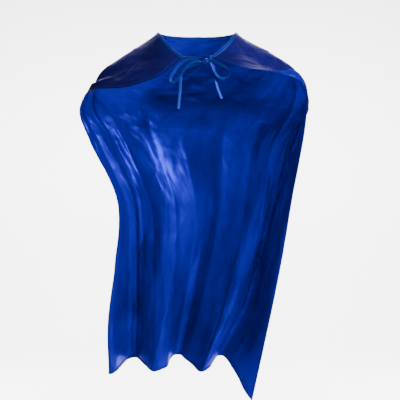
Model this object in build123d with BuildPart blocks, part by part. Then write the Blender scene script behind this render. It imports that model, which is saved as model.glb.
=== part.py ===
"""Satin costume cape, worn over the shoulders and tied with a ribbon bow at the throat.

The wearer faces -Y, +X is to the right of someone who looks at the wearer, and +Z is up. The origin
is the middle of the neck opening. Lengths are in millimetres and angles are in degrees.

The cloth is one surface with two parameters. The first, across, runs from -1 at the free edge on the
-X side, round the back, to 1 at the free edge on the +X side. The second, along, runs from 0 at the
neck binding to 1 at the bottom hem. The surface is the inner face of the cloth, and the cloth's
thickness is laid on its outside.
"""

import os
from functools import cache
from math import cos, pi, radians, sin, tan

from build123d import *

# Overall sizes of the cape
SHOULDER_SPAN = 600.0
BACK_LENGTH = 940.0
NECK_WIDTH = 208.0
NECK_DEPTH = 152.0

# Neckline heights above the origin, and how far it runs round from the middle of the back
NECK_BACK_HEIGHT = 50.0
NECK_SIDE_HEIGHT = 45.0
NECK_FRONT_HEIGHT = -45.0
NECK_END_ANGLE = 161.0

# Cloth, hems and binding
CLOTH_THICKNESS = 2.0
HEM_WIDTH = 9.0
HEM_THICKNESS = 1.0
BINDING_WIDTH = 9.5
BINDING_THICKNESS = 3.0
PANEL_GAP = 0.8
LAYER_SLIP = 1.0

# Folds of the lower cape
FOLD_COUNT = 3
FOLD_DEPTH = 42.0
FOLD_START = 0.45
HEM_WAVE = 16.0
HEM_WAVE_START = 0.6

# How far along the cape swings back from, and the open strip between the two halves there
SWING_ROW = 0.445
SWING_GAP = 22.0

# Ribbon bow
RIBBON_WIDTH = 9.0
RIBBON_THICKNESS = 1.2
KNOT_WIDTH = 24.0
KNOT_HEIGHT = 14.0
KNOT_DEPTH = 12.0
KNOT_ROUNDING = 2.5
KNOT_CENTRE = (23.0, -92.0, -50.0)
KNOT_CLEARANCE = 0.6
LEAD_THICKNESS = 1.2
LEAD_SETBACK = 4.5
LEAD_START = 4.2
LEAD_BOW = 3.0
LOOP_ROOT = 2.5
TAIL_ROOT = 5.5
LAYER_CLEARANCE = 1.8

# Lines that the ribbons follow, seen from the front: x and z of each point
LOOP_LINES = {
    "left": [(-10, -43), (-28, -47), (-46, -60), (-62, -82), (-69, -98), (-62, -105),
             (-50, -96), (-38, -78), (-24, -61), (-8, -52)],
    "right": [(45, -51), (63, -60), (78, -71), (82, -84), (73, -95), (58, -92), (47, -79),
              (41, -65)],
}
TAIL_TOP_LINES = {
    "left": [(-18, -61), (-38, -70), (-42.5, -82)],
    "right": [(43, -64), (46, -74)],
}
TAIL_LINES = {
    "left": [(-42.8, -85), (-43.6, -113), (-45.4, -143), (-48, -173)],
    "right": [(46.6, -77), (48.5, -97), (54, -121), (65, -147)],
}
BEND_SHARE = 0.45

# Guide points of the cloth, from the neck to the hem, for a cape of these two sizes
GUIDE_SPAN = 600.0
GUIDE_LENGTH = 940.0
GUIDE_STRETCH_HEIGHT = -180.0
SIDE_GUIDES = {
    0.0: [(0, 98, 12), (0, 114, -50), (0, 125, -108), (0, 133, -180), (0, 140, -262),
          (0, 143, -420), (0, 150, -590), (0, 160, -750), (0, 166, -890)],
    0.25: [(95, 72, 22), (130, 90, -35), (152, 106, -95), (152, 119, -170), (128, 130, -260),
           (96, 138, -420), (80, 146, -590), (66, 156, -750), (50, 164, -890)],
    0.5: [(155, 13, 14), (212, 15, -20), (264, 14, -72), (268, 62, -155), (216, 98, -256),
          (172, 120, -420), (150, 135, -590), (126, 148, -750), (98, 160, -892)],
    0.75: [(128, -45, -28), (200, -36, -64), (274, -8, -94), (303, 28, -158), (262, 62, -253),
           (214, 98, -420), (196, 118, -590), (178, 136, -750), (146, 154, -898)],
}
FREE_EDGE_GUIDES = {
    -1.0: [(100, -95, -90), (185, -78, -112), (281, -28, -114), (320, 2, -165), (292, 22, -251),
           (244, 72, -420), (236, 100, -590), (232, 124, -750), (198, 152, -893)],
    1.0: [(110, -92, -66), (190, -72, -76), (268, -25, -70), (300, 5, -125), (290, 30, -251),
          (245, 78, -420), (232, 106, -590), (226, 128, -750), (214, 158, -972)],
}
# How far the lower cape hangs to one side, and how much the shoulders slope to one side
SIDE_LEAN = [0, 0, 0, 0, 0, 20, 4, -22, -56]
SHOULDER_SLOPE = 0.02
GUIDE_RAYS = [-1.0, -0.75, -0.5, -0.25, 0.0, 0.25, 0.5, 0.75, 1.0]

# The cloth is one piece; these widths of it are separate solids so that each stays simple
UPPER_SPLITS = [-1.0, -0.4, 0.4, 1.0]
LOWER_SPLITS = [-1.0, -0.6, -0.2, 0.2, 0.6, 1.0]
PANEL_COLUMNS = 15
PANEL_ROWS = 17
EDGE_SAMPLES = 25
HEM_SAMPLES = 49
SURFACE_TOLERANCE = 0.1


def smooth_step(value):
    """0 below 0, 1 above 1, and a smooth ramp between them."""
    value = min(max(value, 0.0), 1.0)
    return value * value * (3 - 2 * value)


def curve_through(points, place):
    """The point at place, 0 to 1, on a smooth curve through evenly spaced points (Catmull-Rom)."""
    spans = len(points) - 1
    scaled = min(max(place, 0.0), 1.0) * spans
    index = min(int(scaled), spans - 1)
    t = scaled - index
    padded = [points[0] * 2 - points[1], *points, points[-1] * 2 - points[-2]]
    p0, p1, p2, p3 = padded[index : index + 4]
    return (
        p1 * 2
        + (p2 - p0) * t
        + (p0 * 2 - p1 * 5 + p2 * 4 - p3) * t**2
        + (p1 * 3 - p0 - p2 * 3 + p3) * t**3
    ) * 0.5


def neckline_point(across):
    """A point of the neck opening's edge."""
    angle = radians(NECK_END_ANGLE) * across
    quarter = abs(angle) / (pi / 2)
    height = NECK_BACK_HEIGHT + (NECK_SIDE_HEIGHT - NECK_BACK_HEIGHT) * min(quarter, 1.0)
    height += (NECK_FRONT_HEIGHT - NECK_SIDE_HEIGHT) * smooth_step(quarter - 1)
    return Vector(NECK_WIDTH / 2 * sin(angle), NECK_DEPTH / 2 * cos(angle), height)


def guide_point(across, row):
    """Guide point number row of the ray at across, at this cape's span and length."""
    side = -1 if across < 0 else 1
    source = FREE_EDGE_GUIDES[across] if abs(across) == 1 else SIDE_GUIDES[abs(across)]
    x, y, z = source[row]
    x = (side * x + SIDE_LEAN[row]) * SHOULDER_SPAN / GUIDE_SPAN
    drop = min(z - GUIDE_STRETCH_HEIGHT, 0.0)
    return Vector(x, y, z + drop * (BACK_LENGTH / GUIDE_LENGTH - 1))


@cache
def guide_rows(across):
    """The points of one line of the cloth from the binding to the hem, before any folds."""
    rows = [binding_seam_point(across)]
    for row in range(len(SIDE_LEAN)):
        rows.append(curve_through([guide_point(ray, row) for ray in GUIDE_RAYS], (across + 1) / 2))
    return rows


@cache
def binding_seam_point(across):
    """Where the binding ends and the open cloth starts, one binding width from the neckline."""
    first_guides = [guide_point(ray, 0) for ray in GUIDE_RAYS]
    top = neckline_point(across)
    return top + (curve_through(first_guides, (across + 1) / 2) - top).normalized() * BINDING_WIDTH


def cloth_point(across, along):
    """A point of the cloth's inner face."""
    point = curve_through(guide_rows(across), along)
    fold = cos(FOLD_COUNT * pi * (across + 1))
    depth = FOLD_DEPTH * smooth_step((along - FOLD_START) / (1 - FOLD_START))
    drop = HEM_WAVE * smooth_step((along - HEM_WAVE_START) / (1 - HEM_WAVE_START))
    slope = SHOULDER_SLOPE * smooth_step(along / 0.2) * (1 - smooth_step((along - 0.3) / 0.3))
    return point + Vector(0, -depth * fold, slope * point.X - drop * fold)


def steps(low, high, count):
    """Count evenly spaced values from low to high."""
    return [low + (high - low) * i / (count - 1) for i in range(count)]


def outward_normal(across, along):
    """The direction out of the cape, away from the wearer, at a point of the cloth."""
    step = 0.004
    ahead, behind = min(across + step, 1.0), max(across - step, -1.0)
    below, above = min(along + step, 1.0), max(along - step, 0.0)
    round_the_cape = cloth_point(ahead, along) - cloth_point(behind, along)
    down_the_cape = cloth_point(across, below) - cloth_point(across, above)
    return round_the_cape.cross(down_the_cape).normalized()


def across_step(across, along, width):
    """How far across reaches this width of cloth, starting at a free edge."""
    inside = across * 0.99
    return width * 0.01 / (cloth_point(across, along) - cloth_point(inside, along)).length


def along_step(across, width):
    """How far along reaches this width of cloth, starting at the bottom hem."""
    return width * 0.01 / (cloth_point(across, 1.0) - cloth_point(across, 0.99)).length


def edge_rails(side, low_along, high_along, height):
    """The two long sides of a free edge's hem, at one height above the inner face."""
    rails = ([], [])
    for along in steps(low_along, high_along, EDGE_SAMPLES):
        reach = across_step(side, along, HEM_WIDTH)
        for rail, across in zip(rails, (side, side * (1 - reach))):
            rail.append(cloth_point(across, along) + outward_normal(across, along) * height)
    return rails


def bottom_rails(height):
    """The two long sides of the bottom hem, at one height above the inner face."""
    rails = ([], [])
    for across in steps(-1.0, 1.0, HEM_SAMPLES):
        reach = along_step(across, HEM_WIDTH)
        for rail, along in zip(rails, (1.0, 1 - reach)):
            rail.append(cloth_point(across, along) + outward_normal(across, along) * height)
    return rails


def binding_rails(height):
    """The two long sides of the neck binding, at one height above the middle of the cloth."""
    rails = ([], [])
    for across in steps(-1.0, 1.0, HEM_SAMPLES):
        rise = outward_normal(across, 0.0) * (CLOTH_THICKNESS / 2 + height)
        top, seam_line = neckline_point(across), binding_seam_point(across)
        rails[0].append(top + rise)
        rails[1].append(seam_line + (top - seam_line).normalized() * PANEL_GAP + rise)
    return rails


def ribbon_rails(line, forward):
    """The two long sides of an upright ribbon along a line, moved forward by a distance."""
    rails = ([], [])
    for place in steps(0.0, 1.0, EDGE_SAMPLES):
        middle = curve_through(line, place) + Vector(0, -forward, 0)
        for rail, rise in zip(rails, (RIBBON_WIDTH / 2, -RIBBON_WIDTH / 2)):
            rail.append(middle + Vector(0, 0, rise))
    return rails


def strip(inner_rails, outer_rails):
    """A long thin closed solid whose four long edges are smooth lines through the rails' points."""
    first, second = [Edge.make_spline(rail) for rail in inner_rails]
    third, fourth = [Edge.make_spline(rail) for rail in outer_rails]
    sides = [(first, second), (third, fourth), (first, third), (second, fourth)]
    for end in (0, -1):
        inner_end = Edge.make_line(inner_rails[0][end], inner_rails[1][end])
        outer_end = Edge.make_line(outer_rails[0][end], outer_rails[1][end])
        sides.append((inner_end, outer_end))
    return Solid(Shell([Face.make_surface_from_curves(*pair) for pair in sides]))


def bend_radii(points):
    """The radius of each bend of a hanging ribbon: as large as its two runs allow."""
    radii = []
    for before, corner, after in zip(points, points[1:], points[2:]):
        into, out_of = Vector(*corner) - Vector(*before), Vector(*after) - Vector(*corner)
        turn = radians(into.get_angle(out_of))
        radii.append(BEND_SHARE * min(into.length, out_of.length) / tan(turn / 2))
    return radii


def cloth_layer(low_across, high_across, low_along, high_along, height):
    """A grid of points that lie at one height above the cloth's inner face."""
    return [
        [
            cloth_point(across, along) + outward_normal(across, along) * height
            for along in steps(low_along, high_along, PANEL_ROWS)
        ]
        for across in steps(low_across, high_across, PANEL_COLUMNS)
    ]


def slab(inner_grid, outer_grid):
    """A closed solid between two smooth faces through two grids of points that match."""
    inner = Face.make_surface_from_array_of_points(inner_grid, tol=SURFACE_TOLERANCE)
    outer = Face.make_surface_from_array_of_points(outer_grid, tol=SURFACE_TOLERANCE)
    faces = [inner, outer]
    for edge in inner.edges():
        partner = outer.edges().sort_by_distance(edge @ 0.5)[0]
        faces.append(Face.make_surface_from_curves(edge, partner))
    return Solid(Shell(faces))


def widths(splits):
    """The widths of cloth between neighbouring splits, each with a thin gap at its inner sides."""
    trim = PANEL_GAP / SHOULDER_SPAN
    for low, high in zip(splits, splits[1:]):
        yield low + trim if low > -1 else low, high - trim if high < 1 else high


def save(part, node):
    """Label one piece with its node name and write it."""
    part.label = node
    export_step(part, f"parts/{node}.step")


os.makedirs("parts", exist_ok=True)
CLOTH_LEVELS = (0.0, CLOTH_THICKNESS)
half_gap = SWING_GAP / 2 / (BACK_LENGTH + NECK_BACK_HEIGHT)
UPPER_END = SWING_ROW - half_gap
LOWER_START = SWING_ROW + half_gap

# ---- Cloth over the shoulders and upper back, down to the swing line
UPPER_NAMES = ["shoulder_left", "upper_back", "shoulder_right"]
for node, (low, high) in zip(UPPER_NAMES, widths(UPPER_SPLITS)):
    with BuildPart() as upper_cloth:
        add(slab(*[cloth_layer(low, high, 0.0, UPPER_END, level) for level in CLOTH_LEVELS]))
    save(upper_cloth.part, node)

# ---- Cloth from the swing line down to the bottom hem
LOWER_NAMES = ["side_left", "back_left", "back", "back_right", "side_right"]
for name, (low, high) in zip(LOWER_NAMES, widths(LOWER_SPLITS)):
    with BuildPart() as lower_cloth:
        add(slab(*[cloth_layer(low, high, LOWER_START, 1.0, level) for level in CLOTH_LEVELS]))
    save(lower_cloth.part, f"lower_{name}")

# ---- Turned hems of the two free edges and of the bottom, on the cloth's inner side
HEM_LEVELS = (-LAYER_SLIP - HEM_THICKNESS, -LAYER_SLIP)
hem_end = 1 - 2 * along_step(0.0, HEM_WIDTH)
for name, side in (("left", -1.0), ("right", 1.0)):
    for half, low, high in (("upper", 0.01, UPPER_END), ("lower", LOWER_START, hem_end)):
        with BuildPart() as edge_hem:
            add(strip(*[edge_rails(side, low, high, level) for level in HEM_LEVELS]))
        save(edge_hem.part, f"front_edge_hem_{name}_{half}")

with BuildPart() as bottom_hem:
    add(strip(*[bottom_rails(level) for level in HEM_LEVELS]))
save(bottom_hem.part, "bottom_hem")

# ---- Binding folded over the neck edge
BINDING_LEVELS = (-BINDING_THICKNESS / 2, BINDING_THICKNESS / 2)
with BuildPart() as neck_binding:
    add(strip(*[binding_rails(level) for level in BINDING_LEVELS]))
save(neck_binding.part, "neck_binding")

# ---- Knot of the bow, and the two ends of the binding that run into it
knot_x, knot_y, knot_z = KNOT_CENTRE
with BuildPart() as bow_knot:
    with BuildSketch(Plane.XZ.offset(-knot_y - KNOT_DEPTH / 2)):
        with Locations((knot_x, knot_z)):
            Rectangle(KNOT_WIDTH, KNOT_HEIGHT)
    extrude(amount=KNOT_DEPTH)
    fillet(bow_knot.edges(), KNOT_ROUNDING)
save(bow_knot.part, "bow_knot")

lead_y = knot_y + KNOT_DEPTH / 2 - KNOT_ROUNDING
for name, side in (("left", -1.0), ("right", 1.0)):
    end_middle = (neckline_point(side) + binding_seam_point(side)) / 2
    knot_side = Vector(knot_x + side * KNOT_WIDTH / 2, lead_y, knot_z + LEAD_SETBACK)
    reach = knot_side - end_middle
    start = end_middle + reach.normalized() * LEAD_START
    crest = start + reach / 2 + Vector(0, -LEAD_BOW, LEAD_BOW)
    lead_line = [start, crest, knot_side]
    with BuildPart() as tie_lead:
        add(strip(*[ribbon_rails(lead_line, forward) for forward in (0, LEAD_THICKNESS)]))
    save(tie_lead.part, f"tie_lead_{name}")

# ---- Loops of the bow, and the ribbon behind each that its tail hangs from
loop_back = knot_y + KNOT_CLEARANCE
tail_back = loop_back + LAYER_CLEARANCE + RIBBON_THICKNESS
for name, side in (("left", -1), ("right", 1)):
    root_x = knot_x + side * (KNOT_WIDTH / 2 + KNOT_CLEARANCE)
    upper_root, lower_root = (root_x, knot_z + LOOP_ROOT), (root_x, knot_z - LOOP_ROOT)
    with BuildPart() as bow_loop:
        with BuildSketch(Plane.XZ.offset(-loop_back)):
            with BuildLine():
                Spline(upper_root, *LOOP_LINES[name], lower_root)
            trace(line_width=RIBBON_THICKNESS)
        extrude(amount=RIBBON_WIDTH)
    save(bow_loop.part, f"bow_loop_{name}")

    with BuildPart() as tail_top:
        with BuildSketch(Plane.XZ.offset(-tail_back)):
            with BuildLine():
                Spline((root_x, knot_z - TAIL_ROOT), *TAIL_TOP_LINES[name])
            trace(line_width=RIBBON_WIDTH)
        extrude(amount=RIBBON_THICKNESS)
    save(tail_top.part, f"tie_tail_{name}_top")

    radii = bend_radii(TAIL_LINES[name])
    print(f"{name} tail bend radii", [round(radius) for radius in radii])
    with BuildPart() as tie_tail:
        with BuildSketch(Plane.XZ.offset(-tail_back)):
            with BuildLine() as tail_line:
                FilletPolyline(*TAIL_LINES[name], radius=radii)
            trace(line_width=RIBBON_WIDTH)
        extrude(amount=RIBBON_THICKNESS)
    tail_length = sum(edge.length for edge in tail_line.edges())
    print(f"{name} tail length", round(tail_length, 1))
    save(tie_tail.part, f"tie_tail_{name}")
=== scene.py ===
"""Looks of a satin costume cape: one draped sheet, its hems, the neck binding and a ribbon bow.

The wearer faces -Y, +X is to the right of someone who looks at the wearer, and +Z is up. Lengths are
in metres. The cloth is one surface with two parameters: across runs from -1 at one free edge, round
the back, to 1 at the other, and along runs from 0 at the neck binding to 1 at the bottom hem.
"""

import logging
import math
from dataclasses import dataclass, field
from enum import Enum
from typing import Any

import bmesh
import bpy
import numpy as np
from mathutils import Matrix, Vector


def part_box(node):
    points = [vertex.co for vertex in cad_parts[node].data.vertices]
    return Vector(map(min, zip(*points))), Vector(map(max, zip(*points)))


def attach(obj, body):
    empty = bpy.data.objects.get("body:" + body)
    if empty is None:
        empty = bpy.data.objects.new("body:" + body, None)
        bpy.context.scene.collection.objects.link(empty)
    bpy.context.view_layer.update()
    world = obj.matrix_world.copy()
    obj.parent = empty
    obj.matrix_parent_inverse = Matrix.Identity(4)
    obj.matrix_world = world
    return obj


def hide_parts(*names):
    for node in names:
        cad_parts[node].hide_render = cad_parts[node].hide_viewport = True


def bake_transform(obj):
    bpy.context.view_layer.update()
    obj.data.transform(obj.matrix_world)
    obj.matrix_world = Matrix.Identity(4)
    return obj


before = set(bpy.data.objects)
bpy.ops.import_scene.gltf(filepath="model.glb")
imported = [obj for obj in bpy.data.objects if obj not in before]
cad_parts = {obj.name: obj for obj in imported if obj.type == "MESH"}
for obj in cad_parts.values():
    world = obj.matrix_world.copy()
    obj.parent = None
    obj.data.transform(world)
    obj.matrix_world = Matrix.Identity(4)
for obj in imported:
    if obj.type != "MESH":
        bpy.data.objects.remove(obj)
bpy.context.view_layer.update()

Array = np.ndarray
Place = tuple[float, float, float]
LOG = logging.getLogger("cape")
MM = 0.001
SHARP_ANGLE = math.radians(50)
CLOTH_MAP = "cloth"
GUIDE_COUNT = 9
PROBE = 0.01  # share of the cloth over which a slope is measured at an edge
CREASE_FADE = 0.15  # share of a crease over which it rises to its full height
CREASE_END = 0.35  # share of that rise already reached at a crease's end


class Body(str, Enum):
    """The moving bodies of the cape."""

    SHOULDERS = "shoulders"
    LOWER_CAPE = "lower_cape"
    BOW_LEFT = "bow_left"
    BOW_RIGHT = "bow_right"
    TAIL_LEFT = "tail_left"
    TAIL_RIGHT = "tail_right"


class Side(Enum):
    """The two sides of the cape, as the sign of across and of X."""

    LEFT = -1
    RIGHT = 1

    @property
    def word(self) -> str:
        """The side's name in lower case."""
        return self.name.lower()


class Slot(str, Enum):
    """The material slots of the record."""

    CLOTH = "cape_satin"
    RIBBON = "ribbon"
    HEM = "hem_fold"


# ---------------------------------------------------------------- shader expressions


class Wire:
    """One output of a shader node, with arithmetic that adds Math nodes."""

    def __init__(self, graph: "Graph", socket: bpy.types.NodeSocket) -> None:
        """Keep the graph and the socket."""
        self.graph = graph
        self.socket = socket

    def _math(self, operation: str, first: Any, second: Any) -> "Wire":
        """A Math node of two values."""
        return self.graph.node("ShaderNodeMath", {"operation": operation}, {0: first, 1: second})

    def __add__(self, other: Any) -> "Wire":
        """Sum."""
        return self._math("ADD", self, other)

    def __radd__(self, other: Any) -> "Wire":
        """Sum with a number on the left."""
        return self._math("ADD", other, self)

    def __sub__(self, other: Any) -> "Wire":
        """Difference."""
        return self._math("SUBTRACT", self, other)

    def __mul__(self, other: Any) -> "Wire":
        """Product."""
        return self._math("MULTIPLY", self, other)


class Graph:
    """The node tree of one new material."""

    def __init__(self, name: str) -> None:
        """Make an empty material.

        Args:
            name: the material's name.
        """
        self.material = bpy.data.materials.new(name)
        self.material.use_nodes = True
        self.tree = self.material.node_tree
        self.tree.nodes.clear()

    def node(self, kind: str, settings: dict[str, Any], inputs: dict[Any, Any], output: Any = 0) -> Any:
        """Add one node.

        Args:
            kind: the node's type.
            settings: attributes of the node, set before its sockets.
            inputs: values or wires, by socket name or number.
            output: the name or number of the output to return.

        Returns:
            The chosen output as a wire, or None for a node that has no outputs.
        """
        made = self.tree.nodes.new(kind)
        for name, value in settings.items():
            setattr(made, name, value)
        for name, value in inputs.items():
            if isinstance(value, Wire):
                self.tree.links.new(value.socket, made.inputs[name])
            else:
                made.inputs[name].default_value = value
        return Wire(self, made.outputs[output]) if len(made.outputs) else None

    def noise(self, place: Wire, scale: float, detail: float, roughness: float = 0.5) -> Wire:
        """Noise from 0 to 1 at a scale per unit of the coordinate."""
        inputs = {"Vector": place, "Scale": scale, "Detail": detail, "Roughness": roughness}
        return self.node("ShaderNodeTexNoise", {}, inputs, "Fac")

    def scaled(self, place: Wire, factors: Place) -> Wire:
        """The coordinate times a factor for each axis."""
        return self.node("ShaderNodeVectorMath", {"operation": "MULTIPLY"}, {0: place, 1: factors})

    def ramp(self, value: Wire, low: float, high: float) -> Wire:
        """0 below low, 1 above high, smooth between."""
        settings = {"interpolation_type": "SMOOTHSTEP", "clamp": True}
        return self.node("ShaderNodeMapRange", settings, {"Value": value, "From Min": low, "From Max": high})

    def mix(self, factor: Wire, first: Any, second: Any) -> Wire:
        """A colour between two colours."""
        settings = {"data_type": "RGBA"}
        return self.node("ShaderNodeMix", settings, {0: factor, 6: first, 7: second}, 2)


@dataclass(frozen=True)
class Satin:
    """A satin finish. Colours are linear red, green, blue, and scales are counts per metre of cloth.

    The long floats of the warp run along the cloth, so the fine streaks are stretched that way. Part
    of the light comes back in the thread's own colour, which is the lustre share. The crumple is the
    depth in metres of the flat facets that a folded satin keeps.
    """

    name: str
    colour: Place
    shade: Place
    lustre: Place
    roughness: float
    lustre_share: float
    crumple: float
    sheen: float = 0.02
    sheen_roughness: float = 0.4
    specular: float = 0.3
    patches: float = 9.0
    streaks: Place = (900.0, 14.0, 1.0)
    floats: Place = (2400.0, 520.0, 1.0)
    threads_per_rib: float = 9.0
    wear: tuple[float, float] = (0.30, 0.70)
    wear_shares: tuple[float, float] = (0.8, 0.2)
    waver: float = 0.10
    creases: Place = (30.0, 13.0, 1.0)
    facets: Place = (20.0, 10.0, 1.0)
    facet_share: float = 0.8
    facet_bends: float = 11.0
    facet_bend: Place = (0.10, 0.14, 0.0)
    weave_depth: float = 0.0004
    weave_strength: float = 0.10
    weave_shares: Place = (0.5, 0.2, 0.2)

    def crumpled(self, graph: Graph, cloth: Wire) -> Wire:
        """The height of the crumple: soft creases plus bent cells with flat sides.

        Args:
            graph: the material's graph.
            cloth: the cloth's coordinate.

        Returns:
            The height as a wire.
        """
        noise = {"Vector": cloth, "Scale": self.facet_bends, "Detail": 2.0}
        bend = graph.node("ShaderNodeTexNoise", {}, noise, "Color")
        add_scaled = {"operation": "MULTIPLY_ADD"}
        bent = graph.node("ShaderNodeVectorMath", add_scaled, {0: bend, 1: self.facet_bend, 2: cloth})
        cells = {"Vector": graph.scaled(bent, self.facets), "Scale": 1.0, "Randomness": 1.0}
        facets = graph.node("ShaderNodeTexVoronoi", {"feature": "F1"}, cells, "Distance")
        return graph.noise(graph.scaled(cloth, self.creases), 1.0, 2.0, 0.40) + facets * self.facet_share

    def material(self) -> bpy.types.Material:
        """Make the material.

        Returns:
            A material whose colour wavers slightly in broad patches and in fine warp streaks, whose
            roughness follows the same streaks, and whose bump is the crumple and the float of the weave.
        """
        graph = Graph(self.name)
        cloth = graph.node("ShaderNodeUVMap", {"uv_map": CLOTH_MAP}, {}, "UV")
        patches = graph.noise(cloth, self.patches, 3.0)
        streaks = graph.noise(graph.scaled(cloth, self.streaks), 1.0, 2.0)
        floats = graph.noise(graph.scaled(cloth, self.floats), 1.0, 1.0)
        diagonal = {"wave_type": "BANDS", "bands_direction": "DIAGONAL", "wave_profile": "SIN"}
        twill = {"Vector": cloth, "Scale": self.floats[0] / self.threads_per_rib, "Distortion": 0.6}
        ribs = graph.node("ShaderNodeTexWave", diagonal, {**twill, "Detail": 1.0}, "Fac")
        broad, fine = self.wear_shares
        worn = graph.ramp(patches * broad + streaks * fine, *self.wear)
        colour = graph.mix(worn, self.shade + (1.0,), self.colour + (1.0,))
        rough = self.roughness + (streaks - 0.5) * self.waver + (patches - 0.5) * self.waver
        crumple = {"Strength": 1.0, "Distance": self.crumple, "Height": self.crumpled(graph, cloth)}
        creased = graph.node("ShaderNodeBump", {}, crumple)
        of_floats, of_ribs, of_streaks = self.weave_shares
        height = floats * of_floats + ribs * of_ribs + streaks * of_streaks
        weave = {"Strength": self.weave_strength, "Distance": self.weave_depth, "Height": height}
        bump = graph.node("ShaderNodeBump", {}, {**weave, "Normal": creased})
        surface = graph.node(
            "ShaderNodeBsdfPrincipled",
            {},
            {
                "Base Color": colour,
                "Roughness": rough,
                "Normal": bump,
                "Metallic": self.lustre_share,
                "Specular IOR Level": self.specular,
                "Specular Tint": self.lustre + (1.0,),
                "Sheen Weight": self.sheen,
                "Sheen Roughness": self.sheen_roughness,
                "Sheen Tint": self.lustre + (1.0,),
            },
            "BSDF",
        )
        graph.node("ShaderNodeOutputMaterial", {}, {"Surface": surface})
        return graph.material


# Outside of the cape: the face satin's gloss, with its colour darkened to dark navy as painted shade, a
# shaded copy of the same cloth as the inside.
FACE_SATIN_PAINTED_SHADE = Satin(
    name="satin_face_painted_shade",
    colour=(0.0060, 0.0040, 0.115),
    shade=(0.0042, 0.0028, 0.080),
    lustre=(0.40, 0.30, 1.0),
    roughness=0.54,
    lustre_share=0.36,
    crumple=0.0015,
)
# Inside of the cape: the same satin, with its colour lightened to bright royal blue as painted light, a lit
# copy of the outside's cloth.
BACK_SATIN_PAINTED_LIGHT = Satin(
    name="satin_back_painted_light",
    colour=(0.006, 0.006, 0.340),
    shade=(0.003, 0.003, 0.200),
    lustre=(0.25, 0.34, 1.0),
    roughness=0.40,
    lustre_share=0.55,
    crumple=0.0050,
)
RIBBON_SATIN = Satin(
    name="ribbon_satin",
    colour=(0.006, 0.028, 0.260),
    shade=(0.003, 0.011, 0.145),
    lustre=(0.30, 0.40, 1.0),
    roughness=0.46,
    lustre_share=0.30,
    crumple=0.0006,
)
HEM_SATIN = Satin(
    name="hem_satin",
    colour=(0.004, 0.005, 0.240),
    shade=(0.002, 0.003, 0.150),
    lustre=(0.25, 0.34, 1.0),
    roughness=0.62,
    lustre_share=0.20,
    crumple=0.0012,
)
THREAD = Satin(
    name="sewing_thread",
    colour=(0.008, 0.030, 0.300),
    shade=(0.005, 0.020, 0.200),
    lustre=(0.6, 0.7, 1.0),
    roughness=0.5,
    lustre_share=0.1,
    crumple=0.0004,
)


# ---------------------------------------------------------------- curves and surfaces as arrays


def smooth_step(value: Array) -> Array:
    """0 below 0, 1 above 1, and three v squared less two v cubed between."""
    value = np.clip(value, 0.0, 1.0)
    return value * value * (3.0 - 2.0 * value)


def span_weights(place: Array, count: int) -> Array:
    """Catmull-Rom weights of evenly spaced points.

    Each place lies in one span of the curve; its four nearest points get the cubic's weights, and a
    point past an end is twice the end less its neighbour.

    Args:
        place: places from 0 to 1, of any shape.
        count: the number of points.

    Returns:
        Weights with one more axis, of length count.
    """
    scaled = np.clip(place, 0.0, 1.0) * (count - 1)
    index = np.minimum(scaled.astype(int), count - 2)
    t = scaled - index
    cubic = 0.5 * np.stack(
        [
            -t + 2 * t**2 - t**3,
            2 - 5 * t**2 + 3 * t**3,
            t + 4 * t**2 - 3 * t**3,
            -(t**2) + t**3,
        ],
        axis=-1,
    )
    extended = (index[..., None] + np.arange(4))[..., None] == np.arange(count + 2)
    weights = (cubic[..., None] * extended).sum(axis=-2)
    inner = weights[..., 1:-1].copy()
    inner[..., 0] += 2 * weights[..., 0]
    inner[..., 1] -= weights[..., 0]
    inner[..., -1] += 2 * weights[..., -1]
    inner[..., -2] -= weights[..., -1]
    return inner


def unit(vectors: Array) -> Array:
    """Vectors of length one along the last axis."""
    return vectors / np.maximum(np.linalg.norm(vectors, axis=-1, keepdims=True), 1e-12)


@dataclass
class Wrinkle:
    """A straight crease of the cloth, from one place to another, as (across, along) pairs.

    Its height falls off as the exponential of the distance from the line, so it has a sharp crest.
    Height and width are in metres, and a negative height is a hollow.
    """

    start: tuple[float, float]
    end: tuple[float, float]
    height: float
    width: float

    def relief(self, across: Array, along: Array, spread: tuple[float, float]) -> Array:
        """Height of the crease over the cloth.

        Args:
            across: places across.
            along: places along.
            spread: metres of cloth for one unit of across and of along.

        Returns:
            The height in metres at each place.
        """
        place = np.stack([across * spread[0], along * spread[1]], axis=-1)
        start = np.array(self.start) * spread
        reach = np.array(self.end) * spread - start
        share = np.clip(((place - start) @ reach) / (reach @ reach), 0.0, 1.0)
        distance = np.linalg.norm(place - start - share[..., None] * reach, axis=-1)
        fade = smooth_step(np.minimum(share, 1 - share) / CREASE_FADE + CREASE_END)
        return self.height * fade * np.exp(-distance / self.width)


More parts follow.
